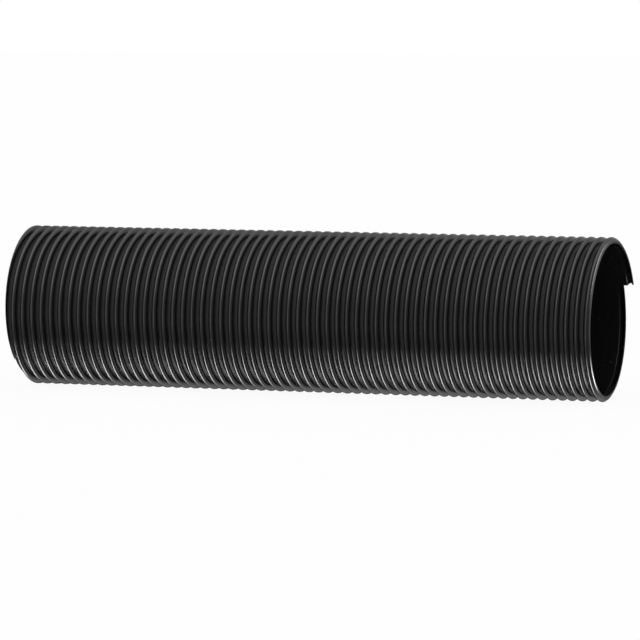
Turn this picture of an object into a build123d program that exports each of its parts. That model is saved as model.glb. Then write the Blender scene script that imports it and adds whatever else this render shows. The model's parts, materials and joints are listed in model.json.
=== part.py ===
from build123d import *
import math
import os

os.makedirs("parts", exist_ok=True)

# A straight length of spiral wound vacuum cleaner hose, in millimetres. One plastic
# strip is wound left-handed, edge over edge. Its flat flange makes the smooth bore
# wall, and the hollow rib beside it laps onto the flange of the next turn.

# Driving dimensions of the hose.
bore_diameter = 50.0
wall = 0.45
pitch = 3.43
rib_height = 2.4
hose_length = 207.7
strip_end_angle = 23.0

# Driving dimensions of the strip's section. Places along the hose start where the
# turn before ends, and heights are above the bore face. The strip is wound with some
# stock inside the bore face, so that the bore can be cut as one round wall.
flange_width = 1.15
flank_place = 1.4
flank_height = 1.5
crest_start = 2.05
crest_width = 0.3
shoulder_place = 2.85
shoulder_height = 2.05
tip_height = 1.05
weld_width = 0.3
bore_stock = 0.2

bore_radius = bore_diameter / 2
outer_radius = bore_radius + rib_height
# One turn is to spare, so that the square cut at the left end goes through plastic all round.
turns = math.ceil(hose_length / pitch) + 1

# The section's outline over one pitch, as points of place and height.
outer_outline = [
    (0.0, wall),
    (flange_width, wall),
    (flank_place, flank_height),
    (crest_start, rib_height),
    (crest_start + crest_width, rib_height),
    (shoulder_place, shoulder_height),
    (pitch, tip_height),
    (pitch, wall),
]
# The roof of the rib's hollow, from the flank to the weld at the rib's tip.
hollow_roof = [
    (flange_width + wall, wall),
    (flank_place + wall, flank_height - wall / 2),
    (crest_start + crest_width / 2, rib_height - wall),
    (pitch - weld_width, wall),
]
hollow_left = hollow_roof[0]
weld_left = hollow_roof[-1]
weld_right = outer_outline[-1]
flank_root = (hollow_left[0], -bore_stock)
pitch_start = (0.0, -bore_stock)
pitch_end = (pitch, -bore_stock)


def place_on_axis(point, turn):
    """Where a section point lies along the axis as a turn of the strip begins."""
    return hose_length - (turns - turn + 1) * pitch + point[0]


def helical_band(first, second, which_turns):
    """The faces that the line between two section points sweeps, one for each turn."""
    edges = []
    for point in (first, second):
        helix = Edge.make_helix(pitch, pitch, bore_radius + point[1], lefthand=True)
        edges.append(helix.moved(Location((0, 0, place_on_axis(point, 0)), (0, 0, strip_end_angle))))
    one_turn = Face.make_surface_from_curves(*edges)
    return [one_turn.moved(Location((0, 0, turn * pitch))) for turn in which_turns]


def helical_bands(outline, which_turns):
    """The bands along every side of an open outline."""
    faces = []
    for first, second in zip(outline, outline[1:]):
        faces += helical_band(first, second, which_turns)
    return faces


def radial_face(outline, turn):
    """A flat face across the wall, in the plane through the axis where each turn begins."""
    corners = []
    for point in outline:
        corner = Vector(bore_radius + point[1], 0, place_on_axis(point, turn))
        corners.append(corner.rotate(Axis.Z, strip_end_angle))
    return Face(Wire.make_polygon(corners, close=True))


def wound_wall():
    """The wound strip as one closed solid, before its bore and its left end are cut."""
    every_turn = range(turns)
    welded_turns = range(turns - 1)
    last_turn = [turns - 1]

    faces = helical_bands(outer_outline, every_turn)
    faces += helical_band(pitch_start, flank_root, every_turn)
    faces += helical_bands(hollow_roof, every_turn)

    # Under each rib lies the flange of the next turn, which closes the hollow.
    faces += helical_band(flank_root, pitch_end, welded_turns)
    faces += helical_band(weld_left, hollow_left, welded_turns)

    # The last turn's rib has no flange under it, so its hollow is open at the mouth.
    faces += helical_band(flank_root, hollow_left, last_turn)
    faces += helical_band(weld_left, weld_right, last_turn)

    # The strip ends in one flat cut across its flange and its rib.
    def one_turn_back(point):
        return (point[0] - pitch, point[1])

    strip_outline = [one_turn_back(flank_root), pitch_start, flank_root] + hollow_roof
    strip_outline += outer_outline[::-1] + [one_turn_back(weld_left), one_turn_back(hollow_left)]
    faces.append(radial_face(strip_outline, turns))

    # The far left of the winding, which the square cut takes away.
    faces += helical_band(pitch_start, outer_outline[0], [0])
    first_section = radial_face([pitch_start] + outer_outline + [pitch_end], 0)
    first_hollow = radial_face(hollow_roof, 0).outer_wire()
    faces.append(first_section.make_holes([first_hollow]))
    return Solid(Shell(faces))


def hose():
    """The hose with its bore cut round, and its left end cut square at the origin, along +Z."""
    waste = Cylinder(2 * outer_radius, 4 * pitch, align=(Align.CENTER, Align.CENTER, Align.MAX))
    bore = Cylinder(bore_radius, 3 * hose_length)
    return (wound_wall() - waste - bore).solid()


# The hose lies on the floor along X, with the end of the strip towards +X.
lying = Plane(origin=(-hose_length / 2, 0, outer_radius), x_dir=(0, 1, 0), z_dir=(1, 0, 0))
part = lying.location * hose()
part.label = "hose"
export_step(part, "parts/hose.step")
print("hose", part.is_valid, round(part.volume), part.bounding_box())
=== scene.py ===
import json
import math

import bmesh
import bpy
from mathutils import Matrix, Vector

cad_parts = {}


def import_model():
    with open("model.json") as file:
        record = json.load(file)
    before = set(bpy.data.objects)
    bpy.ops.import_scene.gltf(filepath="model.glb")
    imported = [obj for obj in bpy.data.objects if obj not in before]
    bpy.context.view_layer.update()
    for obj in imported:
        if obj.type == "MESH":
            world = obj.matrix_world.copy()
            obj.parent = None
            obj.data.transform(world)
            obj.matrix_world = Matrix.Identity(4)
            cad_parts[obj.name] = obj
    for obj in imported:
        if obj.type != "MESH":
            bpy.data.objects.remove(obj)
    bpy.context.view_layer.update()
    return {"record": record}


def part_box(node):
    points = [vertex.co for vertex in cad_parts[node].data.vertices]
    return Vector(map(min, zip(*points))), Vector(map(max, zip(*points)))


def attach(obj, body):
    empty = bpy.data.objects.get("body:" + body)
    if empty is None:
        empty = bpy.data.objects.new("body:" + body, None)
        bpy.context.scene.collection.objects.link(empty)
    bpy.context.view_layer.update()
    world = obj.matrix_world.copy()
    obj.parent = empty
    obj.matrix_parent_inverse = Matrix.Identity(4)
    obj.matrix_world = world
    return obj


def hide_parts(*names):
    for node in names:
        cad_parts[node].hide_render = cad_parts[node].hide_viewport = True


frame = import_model()

# The frame's box and bore give the hose its place and its two radii, in metres.
MM = 0.001
hose_low, hose_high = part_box("hose")
mounts = {mount["name"]: mount for mount in frame["record"]["mounts"]}
BORE_RADIUS = mounts["bore"]["dims"]["r_mm"] * MM
LEFT_END, RIGHT_END = hose_low[0], hose_high[0]
AXIS_HEIGHT = (hose_low[2] + hose_high[2]) / 2
OUTER_RADIUS = (hose_high[2] - hose_low[2]) / 2
RIB_HEIGHT = OUTER_RADIUS - BORE_RADIUS

# The wound strip, with the sizes of the solid hose. One turn is to spare for the square cut.
PITCH = 3.43 * MM
WALL = 0.45 * MM
WELD_WIDTH = 0.3 * MM
STRIP_END_ANGLE = math.radians(23.0)
TURNS = math.ceil((RIGHT_END - LEFT_END) / PITCH) + 1
STEPS_PER_TURN = 54
SHARP_ANGLE = math.radians(50)
SAME_PLACE = 1e-9

# A faint groove along the bore, where two turns of the strip meet.
SEAM_HALF_WIDTH = 0.07 * MM
SEAM_DEPTH = 0.03 * MM

# The lip that the last rib's foot spreads into: how far past the pitch and how high each
# point of the foot goes, in millimetres, and the parts of a turn in which it rises and ends.
LIP_OUTLINE = [(-0.2, 1.22), (0.03, 1.17), (0.07, 1.12), (0.07, 1.05)]
LIP_RISE = 0.15
LIP_FALL = 0.1

# Unevenness of the winding at the rib's top, as waves of (share, radians a turn, start).
RIB_WANDER = 0.03 * MM
ASIDE_WAVES = [(1.0, 1.9, 0.0), (0.6, 4.7, 1.0)]
SWELL_SHARE = 0.4
SWELL_PACE = 2.7
SWELL_START = 0.5


# The strip's section

def rounded(corners):
    """An open outline through corners of (place, height, radius, steps), with an arc at each corner."""
    points = [Vector(corners[0][:2])]
    for before, corner, after in zip(corners, corners[1:], corners[2:]):
        here = Vector(corner[:2])
        radius, steps = corner[2:]
        if steps == 0:
            points.append(here)
            continue
        back = (Vector(before[:2]) - here).normalized()
        ahead = (Vector(after[:2]) - here).normalized()
        half_corner = back.angle(ahead) / 2
        reach = radius / math.tan(half_corner)
        middle = here + (back + ahead).normalized() * (radius / math.sin(half_corner))
        start = here + back * reach - middle
        finish = here + ahead * reach - middle
        for step in range(steps + 1):
            spoke = start.lerp(finish, step / steps).normalized() * radius
            points.append(middle + spoke)
    points.append(Vector(corners[-1][:2]))
    return points


def section():
    """The outer outline, the bore line and the roof of the rib's hollow over one pitch.

    Places start where the turn before ends, and heights are above the bore face.
    """
    outer = rounded([
        (0.0, WALL, 0, 0),
        (1.18 * MM, WALL, 0.3 * MM, 3),
        (1.42 * MM, 1.55 * MM, 0.5 * MM, 2),
        (2.16 * MM, 2.505 * MM, 0.35 * MM, 4),
        (2.72 * MM, 2.27 * MM, 1.1 * MM, 2),
        (3.16 * MM, 1.72 * MM, 1.1 * MM, 2),
        (PITCH, 1.05 * MM, 0.25 * MM, 2),
        (PITCH, WALL, 0, 0),
    ])
    hollow = rounded([
        (1.62 * MM, WALL, 0, 0),
        (1.85 * MM, 1.35 * MM, 0, 0),
        (2.25 * MM, 1.93 * MM, 0, 0),
        (PITCH - WELD_WIDTH, WALL, 0, 0),
    ])
    seam = hollow[0].x
    bore = [
        Vector((0.0, 0.0)),
        Vector((seam - SEAM_HALF_WIDTH, 0.0)),
        Vector((seam, SEAM_DEPTH)),
        Vector((seam + SEAM_HALF_WIDTH, 0.0)),
        Vector((PITCH, 0.0)),
    ]
    return outer, bore, hollow


# The wound wall

def smooth_step(value, start, finish):
    """Rises from 0 at the start to 1 at the finish."""
    share = min(1.0, max(0.0, (value - start) / (finish - start)))
    return share * share * (3 - 2 * share)


class Winding:
    """Vertices and faces of the strip, wound left-handed towards +X."""

    def __init__(self):
        self.places = []
        self.faces = []
        self.known = {}
        self.lip = {}

    def key(self, point):
        return round(point[0] / MM, 5), round(point[1] / MM, 5)

    def spread_foot(self, foot):
        """Says where the points of the rib's foot go in the lip along the mouth."""
        for point, (past_pitch, height) in zip(foot, LIP_OUTLINE):
            self.lip[self.key(point)] = Vector((PITCH + past_pitch * MM, height * MM))

    def lip_moved(self, point, step):
        """The last rib has no turn beside it, so its foot spreads into a narrow lip along the mouth."""
        target = self.lip.get(self.key(point))
        turn = step / STEPS_PER_TURN
        last_turn = TURNS - 1
        if target is None or turn <= last_turn:
            return point
        risen = smooth_step(turn, last_turn, last_turn + LIP_RISE)
        ended = smooth_step(turn, TURNS - LIP_FALL, TURNS)
        return Vector(point).lerp(target, risen - ended)

    def wander(self, height, step):
        """How far a point leaves its even place along the hose and away from the axis."""
        turn = step / STEPS_PER_TURN
        share = RIB_WANDER * smooth_step(TURNS - turn, 0.0, 1.0) * height / RIB_HEIGHT
        aside = sum(part * math.sin(pace * turn + start) for part, pace, start in ASIDE_WAVES)
        swell = SWELL_SHARE * (math.sin(SWELL_PACE * turn + SWELL_START) - 1.0)
        return share * aside, share * swell

    def vertex(self, point, step):
        """The number of a section point's vertex at a step.

        A turn's far edge on the flange is the near edge of the next turn.
        """
        if abs(point[0] - PITCH) < SAME_PLACE and point[1] <= WALL:
            point = (0.0, point[1])
            step += STEPS_PER_TURN
        key = self.key(point) + (step,)
        if key not in self.known:
            place, height = self.lip_moved(point, step)
            aside, swell = self.wander(height, step)
            angle = STRIP_END_ANGLE - 2 * math.pi * step / STEPS_PER_TURN
            along = RIGHT_END - (TURNS + 1 - step / STEPS_PER_TURN) * PITCH + place + aside
            radius = BORE_RADIUS + height + swell
            self.known[key] = len(self.places)
            self.places.append((along, radius * math.cos(angle), AXIS_HEIGHT + radius * math.sin(angle)))
        return self.known[key]

    def band(self, outline, first_turn, last_turn):
        """Quads between neighbouring points of an outline, from one turn up to another."""
        for step in range(first_turn * STEPS_PER_TURN, last_turn * STEPS_PER_TURN):
            for near, far in zip(outline, outline[1:]):
                self.faces.append((
                    self.vertex(near, step), self.vertex(near, step + 1),
                    self.vertex(far, step + 1), self.vertex(far, step),
                ))


def back_one_turn(points):
    return [Vector((point.x - PITCH, point.y)) for point in points]


def wind_strip():
    """The whole winding, one turn longer than the hose at its left end, and closed at its right end."""
    outer, bore, hollow = section()
    seam_spot = len(bore) // 2
    flange_bore, rib_bore = bore[:seam_spot + 1], bore[seam_spot:]
    winding = Winding()
    winding.spread_foot(outer[-1 - len(LIP_OUTLINE):-1])

    # Under each rib but the last lies the flange of the next turn.
    welded = TURNS - 1
    winding.band(outer, 0, TURNS)
    winding.band(flange_bore[::-1], 0, TURNS)
    winding.band(rib_bore[::-1], 0, welded)
    winding.band(hollow[::-1], 0, TURNS)
    winding.band([hollow[0], hollow[-1]], 0, welded)
    winding.band([hollow[0], flange_bore[-1]], welded, TURNS)
    winding.band([outer[-1], hollow[-1]], welded, TURNS)

    # The strip's cut end runs on into the rib before, one turn back along the winding.
    end = back_one_turn(rib_bore[:-1]) + flange_bore + hollow + outer[::-1]
    end += back_one_turn([hollow[-1], hollow[0]])
    end_step = TURNS * STEPS_PER_TURN
    rim = []
    for point in end:
        if point.x < -SAME_PLACE:
            rim.append(winding.vertex(Vector((point.x + PITCH, point.y)), end_step - STEPS_PER_TURN))
        else:
            rim.append(winding.vertex(point, end_step))
    winding.faces.append(rim)
    return winding


def hose_mesh():
    """The winding as a closed mesh, cut square at its left end."""
    winding = wind_strip()
    mesh = bpy.data.meshes.new("hose_wall")
    mesh.from_pydata(winding.places, [], winding.faces)
    shaped = bmesh.new()
    shaped.from_mesh(mesh)
    cut = bmesh.ops.bisect_plane(
        shaped, geom=shaped.verts[:] + shaped.edges[:] + shaped.faces[:],
        plane_co=(LEFT_END, 0, 0), plane_no=(-1, 0, 0), clear_outer=True)
    rim = [part for part in cut["geom_cut"] if isinstance(part, bmesh.types.BMEdge)]
    bmesh.ops.triangle_fill(shaped, edges=rim, use_dissolve=False, use_beauty=True, normal=(-1, 0, 0))
    bmesh.ops.recalc_face_normals(shaped, faces=shaped.faces[:])
    shaped.to_mesh(mesh)
    shaped.free()
    mesh.set_sharp_from_angle(angle=SHARP_ANGLE)
    for polygon in mesh.polygons:
        polygon.use_smooth = True
    return mesh


# Looks

class Nodes:
    """Short ways to add nodes to one node tree."""

    def __init__(self, tree):
        self.tree = tree

    def add(self, kind, **settings):
        node = self.tree.nodes.new(kind)
        for name, value in settings.items():
            setattr(node, name, value)
        return node

    def put(self, socket, value):
        """Sets a socket to a number, or links another node's output to it."""
        if isinstance(value, bpy.types.NodeSocket):
            self.tree.links.new(value, socket)
        else:
            socket.default_value = value

    def calc(self, operation, first, second=0.0, third=0.0):
        node = self.add("ShaderNodeMath", operation=operation)
        for socket, value in zip(node.inputs, (first, second, third)):
            self.put(socket, value)
        return node.outputs[0]

    def spread(self, value, low, high, new_low=0.0, new_high=1.0, smooth=False):
        """The value's range from low to high, spread to another range and held at its ends."""
        node = self.add("ShaderNodeMapRange", interpolation_type="SMOOTHSTEP" if smooth else "LINEAR")
        self.put(node.inputs["Value"], value)
        node.inputs["From Min"].default_value = low
        node.inputs["From Max"].default_value = high
        node.inputs["To Min"].default_value = new_low
        node.inputs["To Max"].default_value = new_high
        return node.outputs["Result"]

    def window(self, value, rise_start, rise_end, fall_start, fall_end):
        """1 between a soft rise and a soft fall, and 0 outside them."""
        return self.calc(
            "MULTIPLY", self.spread(value, rise_start, rise_end, smooth=True),
            self.spread(value, fall_start, fall_end, 1.0, 0.0, smooth=True))

    def coordinate(self, kind):
        return self.add("ShaderNodeTexCoord").outputs[kind]

    def parts(self, vector):
        """The X, Y and Z of a vector."""
        axes = self.add("ShaderNodeSeparateXYZ")
        self.put(axes.inputs[0], vector)
        return axes.outputs

    def noise(self, place, scale, detail):
        node = self.add("ShaderNodeTexNoise")
        self.put(node.inputs["Vector"], place)
        node.inputs["Scale"].default_value = scale
        node.inputs["Detail"].default_value = detail
        return node.outputs["Fac"]


# The plastic's colours, roughness and fine relief. Noise is given as (scale a metre, detail).
PLASTIC_BLACK = (0.0075, 0.0075, 0.0077, 1)
DUST_GREY = (0.03, 0.03, 0.029, 1)
DIE_LINES = (5200, 3.0)
GRAIN = (1900, 3.0)
HANDLING = (45, 4.0)
DUST = (900, 2.0)
DUST_RANGE = (0.69, 0.76)
DUST_COVER = 0.5
NOISE_RANGE = (0.3, 0.7)
HANDLED_ROUGHNESS = (0.12, 0.16)
GRAIN_ROUGHNESS = (-0.03, 0.04)
DUST_ROUGHNESS = 0.15
PLASTIC_IOR = 1.5
DIE_LINE_RELIEF = 0.6
GRAIN_RELIEF = 0.4
RELIEF_STRENGTH = 0.5
RELIEF_DEPTH = 0.008 * MM


def black_plastic():
    """Black extruded plastic with fine die lines along the strip, a faint grain and a little handling."""
    material = bpy.data.materials.new("black_plastic")
    material.use_nodes = True
    shader = material.node_tree.nodes["Principled BSDF"]
    nodes = Nodes(material.node_tree)
    place = nodes.coordinate("Object")
    axes = nodes.parts(place)

    # Die lines lie at the same places on the strip's section all along it.
    height = nodes.calc("SUBTRACT", axes["Z"], AXIS_HEIGHT)
    turn = nodes.calc("DIVIDE", nodes.calc("ARCTAN2", height, axes["Y"]), 2 * math.pi)
    winding = nodes.calc("FRACT", nodes.calc("ADD", nodes.calc("DIVIDE", axes["X"], PITCH), turn))
    squares = nodes.calc("ADD", nodes.calc("POWER", height, 2.0), nodes.calc("POWER", axes["Y"], 2.0))
    across = nodes.add("ShaderNodeCombineXYZ")
    nodes.put(across.inputs["X"], nodes.calc("MULTIPLY", winding, PITCH))
    nodes.put(across.inputs["Y"], nodes.calc("POWER", squares, 0.5))
    die_lines = nodes.noise(across.outputs[0], *DIE_LINES)

    grain = nodes.noise(place, *GRAIN)
    handling = nodes.noise(place, *HANDLING)
    dust = nodes.spread(nodes.noise(place, *DUST), *DUST_RANGE, smooth=True)

    colour = nodes.add("ShaderNodeMix", data_type="RGBA")
    nodes.put(colour.inputs["Factor"], nodes.calc("MULTIPLY", dust, DUST_COVER))
    colour.inputs["A"].default_value = PLASTIC_BLACK
    colour.inputs["B"].default_value = DUST_GREY
    nodes.put(shader.inputs["Base Color"], colour.outputs["Result"])

    worn = nodes.calc(
        "ADD", nodes.spread(handling, *NOISE_RANGE, *HANDLED_ROUGHNESS),
        nodes.spread(grain, *NOISE_RANGE, *GRAIN_ROUGHNESS))
    nodes.put(shader.inputs["Roughness"], nodes.calc("MULTIPLY_ADD", dust, DUST_ROUGHNESS, worn))
    shader.inputs["IOR"].default_value = PLASTIC_IOR

    grain_relief = nodes.calc("MULTIPLY", grain, GRAIN_RELIEF)
    bump = nodes.add("ShaderNodeBump")
    bump.inputs["Strength"].default_value = RELIEF_STRENGTH
    bump.inputs["Distance"].default_value = RELIEF_DEPTH
    nodes.put(bump.inputs["Height"], nodes.calc("MULTIPLY_ADD", die_lines, DIE_LINE_RELIEF, grain_relief))
    nodes.put(shader.inputs["Normal"], bump.outputs["Normal"])
    return material


hose = bpy.data.objects.new("hose_wall", hose_mesh())
bpy.context.scene.collection.objects.link(hose)
hose.data.materials.append(black_plastic())
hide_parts("hose")
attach(hose, "root")
flat_faces = hose.modifiers.new("flat_faces", "WEIGHTED_NORMAL")
flat_faces.keep_sharp = True


# Studio

STUDIO_REACH = 6.0
FLOOR_COLOUR = (0.9, 0.9, 0.9, 1)
FLOOR_GLOW_SHARE = 0.94

# The card behind the hose: where it starts, where its lit strip rises and falls behind the
# axis, how far from the hose's ends the strip fades, and how bright the strip and the card are.
CARD_START = 0.002
CARD_STRIP = (0.016, 0.028, 0.04, 0.07)
STRIP_END_FADE = 0.012
STRIP_LEVEL = 4.0
CARD_LEVEL = 0.25

# Brightness around the hose, as (angle, level). Angles run in degrees from the horizon behind,
# over the top, to the camera's side and below. Reaches are along the hose, as the X part of a
# direction, and each box fades over the soft edge at its reach.
SOFT_EDGE = 0.12
OVER_REACH = (-0.12, 0.68)
OVER_LEVELS = [
    (20, 0.2), (45, 0.9), (75, 1.5), (105, 2.5), (145, 2.5), (166, 1.2), (200, 1.2), (215, 0.3),
]
UNDER_REACH = (-0.08, 0.27)
UNDER_LEVELS = [
    (228, 0.0), (238, 11.5), (255, 25.0), (270, 32.0), (291, 12.0), (303, 1.8), (315, 0.4), (335, 0.0),
]
LOW_REACH = (0.1, 0.45)
LOW_LEVELS = [(285, 0.0), (305, 0.25), (330, 0.25), (359, 0.0)]
FAR_REACH = (0.5, 0.75)
FAR_LEVELS = [(0, 5.0), (8, 5.0), (20, 0.0), (338, 0.0), (350, 5.0), (360, 5.0)]
ROOM_LEVELS = [
    (0, 0.25), (14, 0.4), (28, 0.05), (60, 0.2), (85, 0.62), (120, 0.62), (170, 0.48), (240, 0.35),
    (285, 0.2), (302, 0.04), (340, 0.04), (352, 0.08), (360, 0.25),
]
# The room's level falls along the hose, from one direction to another, as (X part, share).
ROOM_LEFT = (-0.5, 1.0)
ROOM_RIGHT = (0.5, 0.6)
SKY_LEVEL = 0.9
WHITE_LEVEL = 1.0

# The camera, as fitted to the ribs, rims and outlines of the photograph.
CAMERA_AZIMUTH = math.radians(19.056)
CAMERA_ELEVATION = math.radians(4.604)
CAMERA_DISTANCE = 1.44748
AIM_LEFT_OF_MOUTH = 0.10340
AIM_BELOW_AXIS = 0.00278
LENS_MM = 240.04
SENSOR_MM = 36
CLIP_START = 0.01
CLIP_END = 100


def sheet(name, near):
    """A level sheet at floor height, from its near edge to far behind, and its material's bare nodes."""
    reach = STUDIO_REACH
    mesh = bpy.data.meshes.new(name)
    corners = [(-reach, near, 0), (reach, near, 0), (reach, reach, 0), (-reach, reach, 0)]
    mesh.from_pydata(corners, [], [(0, 1, 2, 3)])
    plane = bpy.data.objects.new(name, mesh)
    bpy.context.scene.collection.objects.link(plane)
    material = bpy.data.materials.new(name)
    material.use_nodes = True
    material.node_tree.nodes.clear()
    mesh.materials.append(material)
    return plane, Nodes(material.node_tree)


def floor():
    """White for the camera, with a share left that takes the hose's shadow."""
    plane, nodes = sheet("floor", -STUDIO_REACH)
    diffuse = nodes.add("ShaderNodeBsdfDiffuse")
    diffuse.inputs["Color"].default_value = FLOOR_COLOUR
    glow = nodes.add("ShaderNodeEmission")
    from_camera = nodes.add("ShaderNodeLightPath").outputs["Is Camera Ray"]
    mix = nodes.add("ShaderNodeMixShader")
    nodes.put(mix.inputs[0], nodes.calc("MULTIPLY", from_camera, FLOOR_GLOW_SHARE))
    nodes.put(mix.inputs[1], diffuse.outputs[0])
    nodes.put(mix.inputs[2], glow.outputs[0])
    nodes.put(nodes.add("ShaderNodeOutputMaterial").inputs["Surface"], mix.outputs[0])
    plane.visible_glossy = False


def card_behind():
    """A card on the floor behind the hose, seen only in its gloss, with a lit strip beside the hose."""
    plane, nodes = sheet("card", CARD_START)
    axes = nodes.parts(nodes.coordinate("Object"))
    strip = nodes.window(axes["Y"], *CARD_STRIP)
    # The strip stops short of the hose's ends, which keeps it out of the rim of the mouth.
    beside = nodes.spread(
        nodes.calc("ABSOLUTE", axes["X"]), RIGHT_END - STRIP_END_FADE, RIGHT_END, 1.0, 0.0, smooth=True)
    lit = nodes.calc("MULTIPLY", strip, beside)
    glow = nodes.add("ShaderNodeEmission")
    nodes.put(glow.inputs["Strength"], nodes.calc("MULTIPLY_ADD", lit, STRIP_LEVEL, CARD_LEVEL))
    nodes.put(nodes.add("ShaderNodeOutputMaterial").inputs["Surface"], glow.outputs[0])
    plane.visible_camera = False
    plane.visible_diffuse = False
    plane.visible_transmission = False
    plane.visible_shadow = False


def levels_around(nodes, around, levels):
    """The brightness at an angle around the hose, even before the first angle and after the last."""
    ramp = nodes.add("ShaderNodeValToRGB")
    brightest = max(level for angle, level in levels)
    stops = ramp.color_ramp.elements
    stops[0].position = levels[0][0] / 360
    stops[1].position = levels[-1][0] / 360
    for angle, level in levels[1:-1]:
        stops.new(angle / 360)
    for stop, (angle, level) in zip(stops, levels):
        stop.color = (level / brightest,) * 3 + (1,)
    nodes.put(ramp.inputs["Fac"], around)
    return nodes.calc("MULTIPLY", ramp.outputs["Color"], brightest)


def soft_box(nodes, along, around, reach, levels):
    """A long soft box, with its reach along the hose and its levels around it."""
    first, last = reach
    inside = nodes.window(
        along, first - SOFT_EDGE, first + SOFT_EDGE, last - SOFT_EDGE, last + SOFT_EDGE)
    return nodes.calc("MULTIPLY", inside, levels_around(nodes, around, levels))


def glossy_surroundings(nodes):
    """What the hose's gloss reflects: soft boxes over it, under it, low and far behind, and a dim room."""
    direction = nodes.parts(nodes.coordinate("Generated"))
    along = direction["X"]
    either_way = nodes.calc("ABSOLUTE", along)
    turn = nodes.calc("DIVIDE", nodes.calc("ARCTAN2", direction["Z"], direction["Y"]), 2 * math.pi)
    around = nodes.calc("FRACT", nodes.calc("ADD", turn, 1.0))
    (left, left_share), (right, right_share) = ROOM_LEFT, ROOM_RIGHT
    lights = [
        soft_box(nodes, along, around, OVER_REACH, OVER_LEVELS),
        soft_box(nodes, along, around, UNDER_REACH, UNDER_LEVELS),
        soft_box(nodes, along, around, LOW_REACH, LOW_LEVELS),
        soft_box(nodes, either_way, around, FAR_REACH, FAR_LEVELS),
        nodes.calc(
            "MULTIPLY", nodes.spread(along, left, right, left_share, right_share),
            levels_around(nodes, around, ROOM_LEVELS)),
    ]
    total = 0.0
    for light in lights:
        total = nodes.calc("ADD", total, light)
    return total


def world():
    """Plain soft light for the matte share, soft boxes for the gloss, and white behind the hose."""
    sky = bpy.data.worlds.new("studio")
    bpy.context.scene.world = sky
    sky.use_nodes = True
    sky.cycles.sampling_method = "NONE"
    sky.node_tree.nodes.clear()
    nodes = Nodes(sky.node_tree)
    path = nodes.add("ShaderNodeLightPath")
    lit = nodes.add("ShaderNodeMix", data_type="FLOAT")
    nodes.put(lit.inputs["Factor"], path.outputs["Is Glossy Ray"])
    lit.inputs["A"].default_value = SKY_LEVEL
    nodes.put(lit.inputs["B"], glossy_surroundings(nodes))
    seen = nodes.add("ShaderNodeMix", data_type="FLOAT")
    nodes.put(seen.inputs["Factor"], nodes.calc(
        "MAXIMUM", path.outputs["Is Camera Ray"], path.outputs["Is Transmission Ray"]))
    nodes.put(seen.inputs["A"], lit.outputs["Result"])
    seen.inputs["B"].default_value = WHITE_LEVEL
    background = nodes.add("ShaderNodeBackground")
    background.inputs["Color"].default_value = (1, 1, 1, 1)
    nodes.put(background.inputs["Strength"], seen.outputs["Result"])
    nodes.put(nodes.add("ShaderNodeOutputWorld").inputs["Surface"], background.outputs[0])


def camera():
    aim = Vector((RIGHT_END - AIM_LEFT_OF_MOUTH, 0.0, AXIS_HEIGHT - AIM_BELOW_AXIS))
    back = Vector((
        math.sin(CAMERA_AZIMUTH) * math.cos(CAMERA_ELEVATION),
        -math.cos(CAMERA_AZIMUTH) * math.cos(CAMERA_ELEVATION),
        math.sin(CAMERA_ELEVATION),
    ))
    lens = bpy.data.cameras.new("camera")
    lens.lens = LENS_MM
    lens.sensor_width = SENSOR_MM
    lens.clip_start = CLIP_START
    lens.clip_end = CLIP_END
    eye = bpy.data.objects.new("camera", lens)
    eye.location = aim + back * CAMERA_DISTANCE
    eye.rotation_euler = (-back).to_track_quat("-Z", "Y").to_euler()
    bpy.context.scene.collection.objects.link(eye)
    bpy.context.scene.camera = eye


bpy.context.scene.view_settings.view_transform = "Standard"
floor()
card_behind()
world()
camera()
